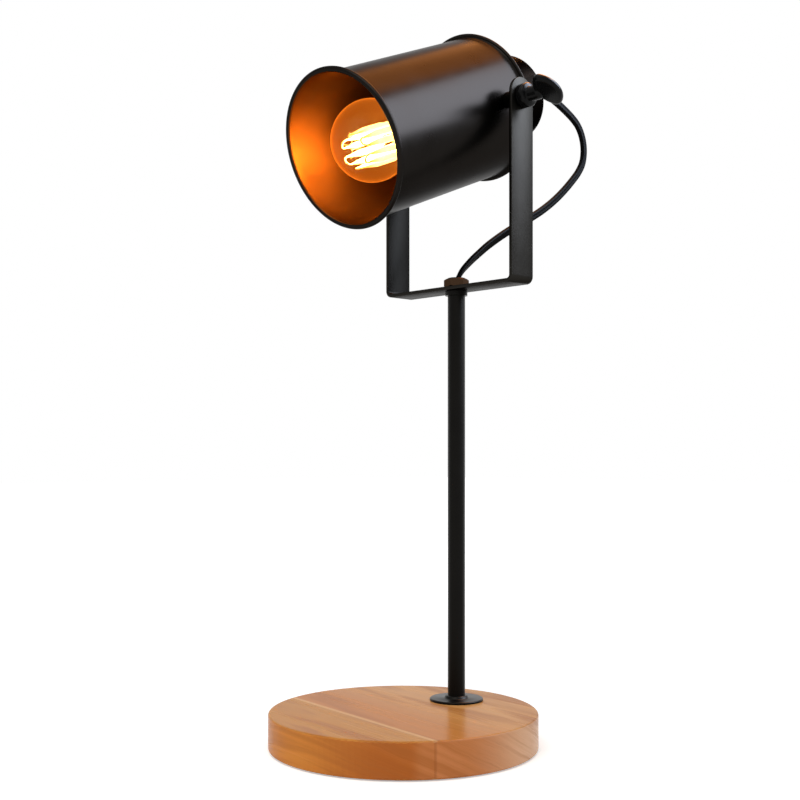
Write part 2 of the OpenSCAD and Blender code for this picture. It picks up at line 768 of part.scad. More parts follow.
module bulb_filament() {
    sides = 6;
    strand_end = cage_back + hairpin_r;
    last = strands - 1;
    rings = concat(
        [filament_ring(strand_at(0) + [0, 0, strand_end], [0, 0, 1], sides)],
        [for (i = [0:last - 1]) for (a = [0:45:180])
            filament_ring(hairpin_point(i, a), hairpin_heading(i, a), sides)],
        [filament_ring(strand_at(last) + [0, 0, strand_end], [0, 0, -1], sides)]
    );
    n = len(rings) - 1;
    points = [for (ring = rings) for (p = ring) p];
    walls = [
        for (i = [0:n - 1])
            for (k = [0:sides - 1])
                let (a = i * sides + k, b = i * sides + (k + 1) % sides)
                for (f = [[a, b + sides, b], [a, a + sides, b + sides]]) f
    ];
    caps = [
        for (k = [1:sides - 2])
            for (f = [[0, k, k + 1], [n * sides, n * sides + k + 1, n * sides + k]]) f
    ];
    color("gold") along_head() polyhedron(points, concat(walls, caps));
}

module core_wires() {
    route = concat(core_route, [[core_x, core_end_s]]);
    color("white") along_head() for (turn = [0, 180])
        rotate([0, 0, turn]) rotate([90, 0, 0])
            flat_cord(route, [0, 1], [0, 1], core_d, core_d);
}

module strain_relief() {
    color("black") along_head() rotate_extrude() polygon([
        [0, relief_tip_s], [relief_tip_d / 2, relief_tip_s],
        [relief_d / 2, 3 - cup_reach - 0.4 * relief_l], [relief_d / 2, -cup_reach],
        [relief_neck_r, -cup_reach], [relief_neck_r, cup_wall - cup_reach],
        [relief_d / 2, cup_wall - cup_reach], [relief_d / 2, relief_inner_s], [0, relief_inner_s]
    ]);
}

module pivot_spacers() {
    color("black") difference() {
        for (side = [-1, 1]) along_pivot(side) difference() {
            cylinder(d = spacer_d, h = leg_inner - face_gap);
            translate([0, 0, -cut]) cylinder(r = shank_hole_r, h = leg_inner + cut);
        }
        along_head() cylinder(r = shade_r + seat_gap, h = 2 * shade_d, center = true);
    }
}

module pivot_nuts() {
    color("silver") for (side = [-1, 1])
        along_pivot(side, pivot_nut_face - pivot_nut_h) difference() {
            hex(pivot_nut_af, pivot_nut_h);
            translate([0, 0, -cut]) cylinder(r = shank_hole_r, h = pivot_nut_h + 2 * cut);
        }
}

module stud(side) {
    color("silver") along_pivot(side, shank_start) cylinder(r = shank_r, h = stud_end - shank_start);
}

// Oval of four arcs: narrow ends of paddle_end_r and long sides tangent to them
module paddle_outline() {
    side_y = paddle_side_r - paddle_w / 2;
    meet_x = paddle_end_x * paddle_side_r / (paddle_side_r - paddle_end_r);
    intersection() {
        square([2 * meet_x, paddle_w], center = true);
        translate([0, side_y]) circle(paddle_side_r);
        translate([0, -side_y]) circle(paddle_side_r);
    }
    for (x = [-1, 1]) translate([x * paddle_end_x, 0]) circle(paddle_end_r);
}

// Hub, neck and oval paddle of one thumb screw, with its blind hole for the stud
module thumb_knob(side, turn) {
    color("black") along_pivot(side) difference() {
        union() {
            translate([0, 0, hub_start]) cylinder(d = hub_d, h = hub_l);
            translate([0, 0, neck_start]) cylinder(d = neck_d, h = neck_l + paddle_w / 4);
            rotate([0, 0, turn]) translate([0, 0, paddle_start + paddle_w / 2]) rotate([90, 0, 0])
                linear_extrude(paddle_t, center = true) paddle_outline();
        }
        cylinder(r = shank_r + seat_gap, h = stud_end + seat_gap);
    }
}

module right_stud() { stud(1); }
module right_thumb_knob() { thumb_knob(1, 90 - right_paddle_turn); }
module left_stud() { stud(-1); }
module left_thumb_knob() { thumb_knob(-1, 90 - left_paddle_turn); }

wood_foot();
felt_pad();
rose();
post();
foot_washer();
foot_nut();
terminal_block();
terminal_screws();
block_screw();
outlet_grommet();
post_lead();
lock_nut();
top_nut();
yoke();
head_cord();
shade();
rear_plate();
socket_cup();
flange_screws();
lampholder();
holder_screws();
screw_shell();
centre_contact();
bulb_glass();
bulb_cap();
bulb_insulator();
bulb_contact();
bulb_stem();
bulb_filament();
core_wires();
strain_relief();
pivot_spacers();
pivot_nuts();
right_stud();
right_thumb_knob();
left_stud();
left_thumb_knob();
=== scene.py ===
"""Looks of a table lamp: a tilting spotlight head in a yoke, on a post and a wooden foot."""
import json
import math

import bmesh
import bpy
from mathutils import Matrix, Vector


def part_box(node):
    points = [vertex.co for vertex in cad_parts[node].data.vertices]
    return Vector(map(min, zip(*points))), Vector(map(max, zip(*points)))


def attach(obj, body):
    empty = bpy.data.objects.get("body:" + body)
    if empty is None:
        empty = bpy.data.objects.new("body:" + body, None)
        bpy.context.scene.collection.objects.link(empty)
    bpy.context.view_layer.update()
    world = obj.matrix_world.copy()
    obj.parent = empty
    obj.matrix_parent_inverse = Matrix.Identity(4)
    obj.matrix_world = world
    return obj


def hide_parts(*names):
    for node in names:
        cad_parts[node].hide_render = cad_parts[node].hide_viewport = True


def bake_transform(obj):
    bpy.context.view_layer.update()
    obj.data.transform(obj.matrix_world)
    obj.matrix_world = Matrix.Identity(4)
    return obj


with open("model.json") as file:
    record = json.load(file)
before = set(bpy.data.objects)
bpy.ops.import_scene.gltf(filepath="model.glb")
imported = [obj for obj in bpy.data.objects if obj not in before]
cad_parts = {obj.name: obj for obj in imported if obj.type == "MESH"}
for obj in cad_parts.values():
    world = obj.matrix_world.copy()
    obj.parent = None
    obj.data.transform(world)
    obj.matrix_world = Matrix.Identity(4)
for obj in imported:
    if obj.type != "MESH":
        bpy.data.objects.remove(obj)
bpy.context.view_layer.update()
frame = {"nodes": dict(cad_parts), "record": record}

MM = 0.001


def node_box(name):
    """Lowest and highest corner of a CAD node in millimetres."""
    low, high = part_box(name)
    return low / MM, high / MM


# Places in millimetres, from the frame
JOINT_AT = {j["name"]: Vector(j["pos_m"]) / MM for j in frame["record"]["behaviour"]["joints"]}
POST_Y = JOINT_AT["head_tilt"].y
PIVOT_Z = JOINT_AT["head_tilt"].z
YOKE_LOW, YOKE_HIGH = node_box("yoke")
CROSSBAR_Z = YOKE_LOW.z
YOKE_HALF = YOKE_HIGH.x
STRIP_W = YOKE_HIGH.y - YOKE_LOW.y
FOOT_H = node_box("wood_foot")[1].z
POST_R = node_box("post")[1].x

# Yoke strip in millimetres
STRIP_T = 2.0
BEND_R = 4.0
STRIP_EASE = 0.35

# Head in millimetres: reaches run along its axis from the pivot, forward or back
TILT = math.radians(22)
SHADE_R = 40.3
SHADE_WALL = 1.0
FLARE_R = 6.0
MOUTH_REACH = 95.7
MOUTH_R = 43.2
MOUTH_BEAD_R = 1.6
MOUTH_SWEEP = 13.0
TAIL_REACH = 17.4
TAIL_R = 42.6
TAIL_BEAD_R = 1.15
TAIL_SWEEP = 6.0
PLATE_BACK = 10.4
CUP_R = 25.2
CUP_REACH = 52.6
CUP_WALL = 1.0
CUP_EDGE_R = 3.0
CUP_FLANGE_R = 30.8
RELIEF_L = 20.0
BULB_R = 22.4
BULB_S = 71.6
CAP_FRONT = 45.2
CAGE_FRONT = BULB_S + 0.68 * BULB_R
CAGE_BACK = BULB_S - 0.78 * BULB_R

# Flat cord in millimetres
CORD_W = 4.8
CORD_T = 3.2

# Thumb screws in millimetres
PADDLE_L = 23.0
PADDLE_W = 14.8
PADDLE_T = 4.2
PADDLE_END_R = 3.8
HUB_R = 6.6
HUB_H = 5.3
NECK_R = 4.1
STUD_R = 3.1

# Hex nut on the crossbar: width across its flats in millimetres and turn in degrees
NUT_WIDTH = 12.6
NUT_TURN = 16

# Camera: level, in front and to the right of the lamp, in millimetres, with its picture shifted
CAMERA_TURN = math.radians(46.49)
CAMERA_DISTANCE = 685.3
CAMERA_HEIGHT = 162.4
CAMERA_LENS = 55.3
CAMERA_SENSOR = 36.0
CAMERA_SHIFT = (-0.0041, 0.0689)


def add_camera():
    """Level camera at the photograph's place."""
    data = bpy.data.cameras.new("camera")
    data.sensor_width = CAMERA_SENSOR
    data.lens = CAMERA_LENS
    data.shift_x, data.shift_y = CAMERA_SHIFT
    camera = bpy.data.objects.new("camera", data)
    bpy.context.collection.objects.link(camera)
    distance = CAMERA_DISTANCE * MM
    x = distance * math.sin(CAMERA_TURN)
    y = -distance * math.cos(CAMERA_TURN)
    camera.location = (x, y, CAMERA_HEIGHT * MM)
    camera.rotation_euler = (math.radians(90), 0, CAMERA_TURN)
    bpy.context.scene.camera = camera


add_camera()


# Helpers for meshes
def head_matrix():
    """Head's own axes: X along the pivot, Y up, Z from the pivot to the mouth."""
    place = Matrix.Translation((0, POST_Y * MM, PIVOT_Z * MM))
    return place @ Matrix.Rotation(TILT + math.radians(90), 4, "X")


def post_matrix(z):
    """Upright axes on the post's line at height z in millimetres."""
    return Matrix.Translation((0, POST_Y * MM, z * MM))


def pivot_matrix(side):
    """Axes on the pivot line with Z pointing out to one side."""
    place = Matrix.Translation((0, POST_Y * MM, PIVOT_Z * MM))
    return place @ Matrix.Rotation(side * math.radians(90), 4, "Y")


def new_object(name, bm, matrix, sharp_deg=35.0):
    """Object from a bmesh in millimetres, smooth except at edges sharper than sharp_deg."""
    bmesh.ops.recalc_face_normals(bm, faces=bm.faces)
    mesh = bpy.data.meshes.new(name)
    bm.to_mesh(mesh)
    bm.free()
    mesh.transform(matrix @ Matrix.Scale(MM, 4))
    mesh.shade_smooth()
    mesh.set_sharp_from_angle(angle=math.radians(sharp_deg))
    obj = bpy.data.objects.new(name, mesh)
    bpy.context.collection.objects.link(obj)
    return obj


def arc(cx, cy, r, a0, a1, n):
    """Points of an arc in degrees, both ends included."""
    out = []
    for i in range(n + 1):
        a = math.radians(a0 + (a1 - a0) * i / n)
        out.append((cx + r * math.cos(a), cy + r * math.sin(a)))
    return out


def direction_at(line, i):
    """Unit direction of a line of points at point i."""
    return (line[min(i + 1, len(line) - 1)] - line[max(i - 1, 0)]).normalized()


def skin_into(bm, rings, closed=False):
    """Quads from ring to ring. closed joins the last ring to the first, else both get a cap."""
    pairs = list(zip(rings, rings[1:]))
    if closed:
        pairs.append((rings[-1], rings[0]))
    for a, b in pairs:
        for k in range(len(a)):
            k2 = (k + 1) % len(a)
            bm.faces.new((a[k], a[k2], b[k2], b[k]))
    if not closed:
        bm.faces.new(rings[0])
        bm.faces.new(rings[-1])


def lathe_into(bm, profile, segments, closed, slots=None):
    """Revolves (radius, height) points about Z. slots gives a material number per profile edge."""
    on_axis = 1e-6
    rings = []
    for r, z in profile:
        if r < on_axis:
            rings.append([bm.verts.new((0, 0, z))])
            continue
        ring = []
        for k in range(segments):
            a = 2 * math.pi * k / segments
            ring.append(bm.verts.new((r * math.cos(a), r * math.sin(a), z)))
        rings.append(ring)
    count = len(rings) if closed else len(rings) - 1
    for i in range(count):
        a = rings[i]
        b = rings[(i + 1) % len(rings)]
        if len(a) == 1 and len(b) == 1:
            continue
        for k in range(segments):
            k2 = (k + 1) % segments
            if len(a) == 1:
                face = bm.faces.new((a[0], b[k2], b[k]))
            elif len(b) == 1:
                face = bm.faces.new((a[k], a[k2], b[0]))
            else:
                face = bm.faces.new((a[k], a[k2], b[k2], b[k]))
            if slots:
                face.material_index = slots[i]


def lathe(name, profile, matrix, segments, closed=False, slots=None, sharp_deg=35.0):
    """Object made by revolving a profile about the matrix's Z axis."""
    bm = bmesh.new()
    lathe_into(bm, profile, segments, closed, slots)
    return new_object(name, bm, matrix, sharp_deg)


def settle(obj, body, nodes, slot, *materials):
    """Gives a piece its materials and body, and hides the nodes that it stands for. slot is not
    used.
    """
    for material in materials:
        obj.data.materials.append(material)
    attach(obj, body)
    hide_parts(*nodes)


# Helpers for materials
class Nodes:
    """Short calls for building one material's node tree."""

    def __init__(self, name):
        self.material = bpy.data.materials.new(name)
        self.material.use_nodes = True
        self.tree = self.material.node_tree
        self.tree.nodes.clear()
        self.output = self.new("ShaderNodeOutputMaterial")
        self.shader = self.new("ShaderNodeBsdfPrincipled")
        self.link(self.shader.outputs["BSDF"], self.output.inputs["Surface"])
        self.place = self.new("ShaderNodeTexCoord").outputs["Object"]

    def new(self, kind, **settings):
        """Node with its settings."""
        node = self.tree.nodes.new(kind)
        for key, value in settings.items():
            setattr(node, key, value)
        return node

    def link(self, a, b):
        """Link from an output to an input."""
        self.tree.links.new(a, b)

    def feed(self, socket, value):
        """Links an output or sets a plain value."""
        if isinstance(value, bpy.types.NodeSocket):
            self.link(value, socket)
        else:
            socket.default_value = value

    def set(self, **values):
        """Plain values on the shader's own sockets."""
        for key, value in values.items():
            self.shader.inputs[key.replace("_", " ")].default_value = value

    def to(self, key, value):
        """Links an output to one of the shader's own sockets."""
        self.link(value, self.shader.inputs[key])

    def math(self, operation, a, b=0.0, c=0.0):
        """Result of a sum on values or outputs."""
        node = self.new("ShaderNodeMath", operation=operation)
        for socket, value in zip(node.inputs, (a, b, c)):
            self.feed(socket, value)
        return node.outputs[0]

    def parts(self, vector):
        """The three parts of a vector."""
        node = self.new("ShaderNodeSeparateXYZ")
        self.link(vector, node.inputs["Vector"])
        return node.outputs[0], node.outputs[1], node.outputs[2]

    def stretched(self, parts, factors):
        """Vector of three values, each times its own factor."""
        node = self.new("ShaderNodeCombineXYZ")
        for socket, part, factor in zip(node.inputs, parts, factors):
            self.link(self.math("MULTIPLY", part, factor), socket)
        return node.outputs[0]

    def mapped(self, scale, rotation=(0, 0, 0), source=None):
        """Scaled and turned place on the object, or another vector."""
        node = self.new("ShaderNodeMapping")
        self.link(source or self.place, node.inputs["Vector"])
        node.inputs["Scale"].default_value = scale
        node.inputs["Rotation"].default_value = rotation
        return node.outputs["Vector"]

    def noise(self, vector, scale=1.0, detail=4.0, roughness=0.55, distortion=0.0):
        """Noise from 0 to 1."""
        node = self.new("ShaderNodeTexNoise")
        self.link(vector, node.inputs["Vector"])
        node.inputs["Scale"].default_value = scale
        node.inputs["Detail"].default_value = detail
        node.inputs["Roughness"].default_value = roughness
        node.inputs["Distortion"].default_value = distortion
        return node.outputs["Fac"]

    def span(self, value, low, high, to_low=0.0, to_high=1.0, smooth=False):
        """Value from low to high, brought to the range from to_low to to_high."""
        kind = "SMOOTHSTEP" if smooth else "LINEAR"
        node = self.new("ShaderNodeMapRange", interpolation_type=kind)
        self.feed(node.inputs["Value"], value)
        numbers = {"From Min": low, "From Max": high, "To Min": to_low, "To Max": to_high}
        for key, number in numbers.items():
            node.inputs[key].default_value = number
        return node.outputs["Result"]

    def mix(self, factor, a, b):
        """Colour between a and b."""
        node = self.new("ShaderNodeMix", data_type="RGBA")
        self.feed(node.inputs[0], factor)
        for socket, value in zip((node.inputs[6], node.inputs[7]), (a, b)):
            if isinstance(value, tuple):
                value = (*value, 1.0)
            self.feed(socket, value)
        return node.outputs[2]

    def bump(self, height, strength, distance):
        """Fine relief on the shader."""
        node = self.new("ShaderNodeBump")
        self.link(height, node.inputs["Height"])
        node.inputs["Strength"].default_value = strength
        node.inputs["Distance"].default_value = distance
        self.link(node.outputs["Normal"], self.shader.inputs["Normal"])


def shaded(color, share):
    """Colour times a share of its brightness."""
    return tuple(c * share for c in color)


def paint(name, tone, roughness, peel=0.04, peel_scale=700.0, rim=0.5):
    """Coat on metal with faint orange peel. rim is how bright it gets at grazing edges."""
    n = Nodes(name)
    cloud = n.noise(n.place, 60.0, 3.0)
    fine = n.noise(n.place, peel_scale, 2.0)
    n.to("Base Color", n.mix(cloud, shaded(tone, 0.85), shaded(tone, 1.15)))
    n.to("Roughness", n.span(cloud, 0.3, 0.7, roughness - 0.03, roughness + 0.03))
    n.set(Metallic=1.0, Specular_Tint=(rim, rim, rim, 1.0))
    n.bump(fine, peel, 0.0002)
    return n.material


def metal(name, color, roughness):
    """Plain metal with fine drawn lines and uneven roughness."""
    n = Nodes(name)
    lines = n.noise(n.mapped((40.0, 40.0, 900.0)), 1.0, 3.0)
    cloud = n.noise(n.place, 90.0, 2.0)
    n.to("Base Color", n.mix(cloud, shaded(color, 0.85), color))
    n.to("Roughness", n.span(lines, 0.3, 0.7, roughness - 0.06, roughness + 0.08))
    n.set(Metallic=1.0)
    n.bump(lines, 0.05, 0.0001)
    return n.material


def moulded(name, color, roughness, specular=0.3, grain=2500.0, bump=0.06):
    """Moulded plastic or rubber with a fine spark-eroded grain."""
    n = Nodes(name)
    fine = n.noise(n.place, grain, 2.0)
    cloud = n.noise(n.place, 120.0, 2.0)
    n.to("Base Color", n.mix(cloud, shaded(color, 0.8), shaded(color, 1.2)))
    n.to("Roughness", n.span(fine, 0.3, 0.7, roughness - 0.04, roughness + 0.05))
    n.set(Specular_IOR_Level=specular)
    n.bump(fine, bump, 0.0001)
    return n.material


def felt(name, color):
    """Felt: a tangle of fibres with a soft sheen."""
    n = Nodes(name)
    fibre = n.noise(n.place, 1500.0, 5.0, 0.7, 1.5)
    n.to("Base Color", n.mix(fibre, shaded(color, 0.5), shaded(color, 1.5)))
    n.set(Roughness=0.95, Sheen_Weight=0.4, Specular_IOR_Level=0.1)
    n.bump(fibre, 0.5, 0.0004)
    return n.material


def gold_lacquer(name):
    """Dark copper-gold lacquer inside the shade, with a satin spray texture."""
    n = Nodes(name)
    cloud = n.noise(n.place, 45.0, 3.0)
    fine = n.noise(n.place, 900.0, 2.0)
    n.to("Base Color", n.mix(cloud, (0.076, 0.0200, 0.0034), (0.090, 0.0240, 0.0041)))
    n.to("Roughness", n.span(cloud, 0.3, 0.7, 0.34, 0.37))
    n.set(Metallic=1.0, Specular_Tint=(0.5, 0.45, 0.4, 1.0))
    n.bump(fine, 0.05, 0.0002)
    return n.material


def glass(name, tint, body, glow, glow_color):
    """Thin blown glass: tinted see-through wall, clear gloss and faint waves. Its glow, brightest
    at the rim, is painted light for the filament's light in the glass.
    """
    n = Nodes(name)
    wave = n.noise(n.place, 90.0, 2.0)
    n.to("Roughness", n.span(wave, 0.3, 0.7, 0.04, 0.07))
    n.to("Base Color", n.mix(wave, shaded(body, 0.85), body))
    n.set(IOR=1.45, Specular_IOR_Level=0.5)
    n.set(Emission_Color=(*glow_color, 1.0), Emission_Strength=glow)
    n.bump(wave, 0.04, 0.0004)
    clear = n.new("ShaderNodeBsdfTransparent")
    clear.inputs["Color"].default_value = (*tint, 1.0)
    edge = n.new("ShaderNodeLayerWeight")
    edge.inputs["Blend"].default_value = 0.5
    rim = n.math("POWER", edge.outputs["Facing"], 6.0)
    wall = n.new("ShaderNodeMixShader")
    n.link(n.math("MULTIPLY_ADD", rim, 0.5, 0.09), wall.inputs["Fac"])
    n.link(clear.outputs["BSDF"], wall.inputs[1])
    n.link(n.shader.outputs["BSDF"], wall.inputs[2])
    n.link(wall.outputs["Shader"], n.output.inputs["Surface"])
    return n.material


def glowing(name, color, strength):
    """Hot filament: white hot along its strands, dull orange at the hairpin ends."""
    n = Nodes(name)
    dull = (1.0, 0.5, 0.12)
    dull_from = CAGE_FRONT - 1.0
    hot_from = CAGE_FRONT - 12.0
    _, back, up = n.parts(n.place)
    ahead = n.math("MULTIPLY", n.math("SUBTRACT", back, POST_Y * MM), -math.cos(TILT))
    below = n.math("MULTIPLY", n.math("SUBTRACT", up, PIVOT_Z * MM), -math.sin(TILT))
    along = n.math("ADD", ahead, below)
    hot = n.span(along, dull_from * MM, hot_from * MM, 0.0, 1.0, True)
    spots = n.noise(n.place, 500.0, 2.0)
    n.to("Base Color", n.mix(spots, shaded(color, 0.8), color))
    n.to("Emission Color", n.mix(hot, dull, color))
    n.set(Roughness=0.4)
    uneven = n.span(spots, 0.3, 0.7, 0.8, 1.2)
    heat = n.math("MULTIPLY", n.span(hot, 0.0, 1.0, 0.12, 1.0), uneven)
    n.to("Emission Strength", n.math("MULTIPLY", heat, strength))
    return n.material


def hardwood(name):
    """Lacquered strips of light hardwood, glued side by side, with grain along the strips."""
    n = Nodes(name)
    # Place of the glue line across the grain in metres, and turn of the grain about the upright
    seam = -0.0304
    grain_turn = (0, 0, math.radians(7.2))
    grain = n.mapped((1, 1, 1), grain_turn)
    along, across, up = n.parts(grain)

    # Growth rings lean, so end faces show slanted lines
    ring = n.math("MULTIPLY_ADD", up, 1.9, across)
    wavy = n.noise(n.mapped((9, 60, 60), (0, 0, 0), grain), 1.0, 2.0)
    ring = n.math("MULTIPLY_ADD", wavy, 0.007, ring)
    axes = (along, ring, up)
    streak = n.noise(n.stretched(axes, (7.0, 190.0, 20.0)), 1.0, 5.0, 0.6)
    band = n.noise(n.stretched(axes, (7.0, 70.0, 8.0)), 1.0, 3.0, 0.5, 0.7)
    pore = n.span(n.noise(n.stretched(axes, (90.0, 1500.0, 300.0)), 1.0, 2.0), 0.62, 0.75)

    # Tone of the front strip and of the wide one behind it. The one behind gets paler towards the
    # back: partly its own tone, partly painted light from the right.
    front = n.mix(streak, (0.50, 0.205, 0.038), (0.63, 0.280, 0.062))
    middle = n.mix(streak, (0.50, 0.172, 0.034), (0.67, 0.258, 0.060))
    pale = n.mix(streak, (0.61, 0.272, 0.080), (0.78, 0.382, 0.132))
    dark_band = (0.42, 0.140, 0.030)
    behind = n.math("GREATER_THAN", across, seam)
    spread = n.math("MULTIPLY_ADD", band, 0.03, across)
    pale_lit_share = n.span(spread, -0.004, 0.05, 0.0, 1.0, True)
    color = n.mix(behind, front, n.mix(pale_lit_share, middle, pale))
    color = n.mix(n.span(band, 0.46, 0.64, 0.0, 0.7, True), color, dark_band)

    # Pale glue line of the front strip
    glue = (0.76, 0.42, 0.17)
    off = n.math("ABSOLUTE", n.math("SUBTRACT", across, seam))
    color = n.mix(n.span(off, 0.0006, 0.0019, 0.85, 0.0, True), color, glue)

    # The edge is redder, and lines slant across it. It is darker where it turns across the grain:
    # partly end grain, partly painted shade.
    normal = n.new("ShaderNodeNewGeometry").outputs["True Normal"]
    face_along, _, face_up = n.parts(n.mapped((1, 1, 1), grain_turn, normal))
    side = n.span(n.math("ABSOLUTE", face_up), 0.4, 0.8, 1.0, 0.0)
    end = n.span(n.math("ABSOLUTE", face_along), 0.1, 0.75, 0.0, 1.0, True)
    long_grain = n.mix(streak, (0.59, 0.207, 0.035), (0.75, 0.295, 0.062))
    shaded_end_grain = n.mix(streak, (0.38, 0.101, 0.018), (0.53, 0.160, 0.034))
    red_end = n.mix(streak, (0.44, 0.148, 0.045), (0.68, 0.265, 0.098))
    # The edge behind gets paler towards the back: partly its own tone, partly painted light from
    # the right
    pale_lit_edge = n.mix(streak, (0.71, 0.380, 0.215), (0.93, 0.610, 0.395))
    dark_end = (0.40, 0.125, 0.030)
    dark_seam = (0.25, 0.07, 0.02)
    front_edge = n.mix(end, long_grain, shaded_end_grain)
    front_edge = n.mix(n.span(off, 0.005, 0.012, 0.7, 0.0, True), front_edge, red_end)
    edge = n.mix(behind, front_edge, n.mix(pale_lit_share, red_end, pale_lit_edge))
    edge = n.mix(n.span(band, 0.46, 0.62, 0.0, 0.45, True), edge, dark_end)
    edge = n.mix(n.span(off, 0.0003, 0.001, 0.3, 0.0, True), edge, dark_seam)
    color = n.mix(side, color, edge)

    # Open pores, lacquer and relief
    pore_color = (0.2, 0.07, 0.025)
    n.to("Base Color", n.mix(n.math("MULTIPLY", pore, 0.25), color, pore_color))
    n.to("Roughness", n.span(streak, 0.3, 0.7, 0.2, 0.3))
    n.set(Specular_IOR_Level=0.03)
    n.bump(n.math("SUBTRACT", streak, n.math("MULTIPLY", pore, 0.6)), 0.05, 0.0003)
    return n.material


POWDER = {"peel": 0.08, "peel_scale": 1200.0}
MATERIALS = {
    "wood": hardwood("lacquered_hardwood"),
    "felt": felt("felt", (0.03, 0.03, 0.032)),
    "black_paint": paint("black_powder_coat", (0.0085, 0.008, 0.0073), 0.36, rim=1.0, **POWDER),
    # The nut's coat is tinted brown: a painted warm reflection
    "nut_paint_warm_reflection": paint("black_with_painted_warm_reflection", (0.0470, 0.0260, 0.0145), 0.3),
    "shade_paint": paint("black_semi_gloss", (0.0106, 0.0092, 0.0081), 0.3),
    # The cup's coat is a darker copy of the shade's: painted shade
    "cup_paint_shaded": paint("black_semi_gloss_shaded", (0.0052, 0.0045, 0.0040), 0.3, rim=0.38),
    "yoke_paint": paint("satin_black", (0.0175, 0.0162, 0.0141), 0.36, rim=0.45, **POWDER),
    # Darker copy of the yoke's coat for the inside of the U: painted shade
    "inner_painted_shade": paint("satin_black_painted_shade", (0.0061, 0.0057, 0.0050), 0.36, rim=0.45, **POWDER),
    "black_plastic": moulded("black_plastic", (0.004, 0.004, 0.004), 0.2, 0.07),
    "white_plastic": moulded("white_plastic", (0.75, 0.74, 0.7), 0.45),
    "black_rubber": moulded("black_rubber", (0.004, 0.004, 0.004), 0.45, 0.01),
    "cord_sheath": moulded("cord_sheath", (0.003, 0.003, 0.003), 0.3, 0.012, 1800.0, 0.01),
    "steel": metal("zinc_steel", (0.62, 0.62, 0.61), 0.32),
    "brass": metal("brass", (0.83, 0.62, 0.27), 0.3),
    "cap_metal": metal("rolled_cap", (0.7, 0.68, 0.62), 0.34),
    "amber_glass": glass(
        "amber_glass", tint=(1.0, 0.74, 0.36), body=(0.08, 0.03, 0.01),
        glow=1.3, glow_color=(1.0, 0.22, 0.012)),
    "clear_glass": glass(
        "clear_glass", tint=(0.98, 0.9, 0.75), body=(0.3, 0.3, 0.3),
        glow=9.0, glow_color=(1.0, 0.7, 0.3)),
    "filament_metal": glowing("filament", (1.0, 0.86, 0.5), 3.6),
    "gold": gold_lacquer("gold_lacquer"),
}

# Every carried-over node gets the finish of its record slot
SLOT_OF = {part["node"]: part["material_slot"] for part in frame["record"]["subparts"]}
for node_name, node_object in frame["nodes"].items():
    node_object.data.materials.clear()
    node_object.data.materials.append(MATERIALS[SLOT_OF[node_name]])


# Free cord: distance behind the foot's centre and height, as in the part's source
CORD_ROUTE = [
    (42.6, 244), (42.3, 248), (41.8, 252), (41.6, 256), (42, 260), (43.3, 264), (45.4, 267.6),
    (48.1, 270.8), (51.7, 274), (56.2, 277.7), (62, 282), (69, 287), (77.6, 292.4), (86.6, 297.6),
    (96, 302.6), (106, 307.8), (116, 313.2), (125.4, 319), (134, 325.1), (142, 331.6), (149, 338),
    (154.9, 344), (159.2, 350.2), (161, 356.5), (160.9, 363), (158.9, 369.2), (155.1, 374.5),
    (149.9, 378.2), (143, 381.6), (134.6, 385), (126.6, 387.7), (120.8, 388.9), (115.2, 388.9),
]


def smooth_route(points, per_span):
    """Denser points on a smooth curve through the given ones."""
    out = []
    for i in range(len(points) - 1):
        p0 = points[max(i - 1, 0)]
        p1 = points[i]
        p2 = points[i + 1]
        p3 = points[min(i + 2, len(points) - 1)]
        for k in range(per_span):
            t = k / per_span
            out.append(0.5 * (2 * p1 + (p2 - p0) * t + (2 * p0 - 5 * p1 + 4 * p2 - p3) * t * t
                              + (3 * p1 - p0 - 3 * p2 + p3) * t ** 3))
    out.append(points[-1])
    return out


def twin_section(sides):
    """Outline of the flat twin cord: an oval with a shallow groove along both wide faces."""
    groove_depth = 0.2
    groove_width = 0.3
    side_power = 0.85
    face_power = 0.7
    out = []
    for k in range(sides):
        a = 2 * math.pi * k / sides
        x = math.cos(a)
        y = math.sin(a)
        groove = groove_depth * math.exp(-(x / groove_width) ** 2)
        wide = CORD_W / 2 * math.copysign(abs(x) ** side_power, x)
        thick = CORD_T / 2 * math.copysign(abs(y) ** face_power, y) * (1 - groove)
        out.append((wide, thick))
    return out


def make_cord():
    """Flat twin cord: turned by a quarter at the nut, flat in the loop's plane above."""
    sides = 24
    per_span = 4
    turned_spans = 14
    reach = CUP_REACH + RELIEF_L
    end = (POST_Y + reach * math.cos(TILT), PIVOT_Z + reach * math.sin(TILT))
    given = [Vector((0.0, y, z)) for y, z in [*CORD_ROUTE, end]]
    line = smooth_route(given, per_span)
    section = twin_section(sides)
    bm = bmesh.new()
    rings = []
    for i, p in enumerate(line):
        d = direction_at(line, i)
        if i == len(line) - 1:
            d = Vector((0, -math.cos(TILT), -math.sin(TILT)))
        flat = Vector((0, -d.z, d.y))
        turn = math.radians(90) * max(0.0, 1 - i / (turned_spans * per_span))
        ring = []
        for x, y in section:
            u = x * math.cos(turn) - y * math.sin(turn)
            v = x * math.sin(turn) + y * math.cos(turn)
            ring.append(bm.verts.new(p + flat * u + Vector((v, 0, 0))))
        rings.append(ring)
    skin_into(bm, rings)
    obj = new_object("flat_cord", bm, Matrix.Identity(4), sharp_deg=50)
    obj.data.materials.append(MATERIALS["cord_sheath"])
    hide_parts("head_cord")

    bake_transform(obj)


make_cord()


# Shade with flared and rolled rims, black outside and gold inside
def sweep_curve(start, reach, depth):
    """Gentle inner curve from the bead down to the straight wall, which it meets at this depth."""
    steps = 12
    pull = 0.4
    wall_r = SHADE_R - SHADE_WALL
    first = Vector(start)
    control = Vector((wall_r, reach - pull * depth))
    last = Vector((wall_r, reach - depth))
    out = []
    for i in range(steps + 1):
        t = i / steps
        p = first * (1 - t) ** 2 + control * 2 * t * (1 - t) + last * t * t
        out.append((p.x, p.y))
    return out


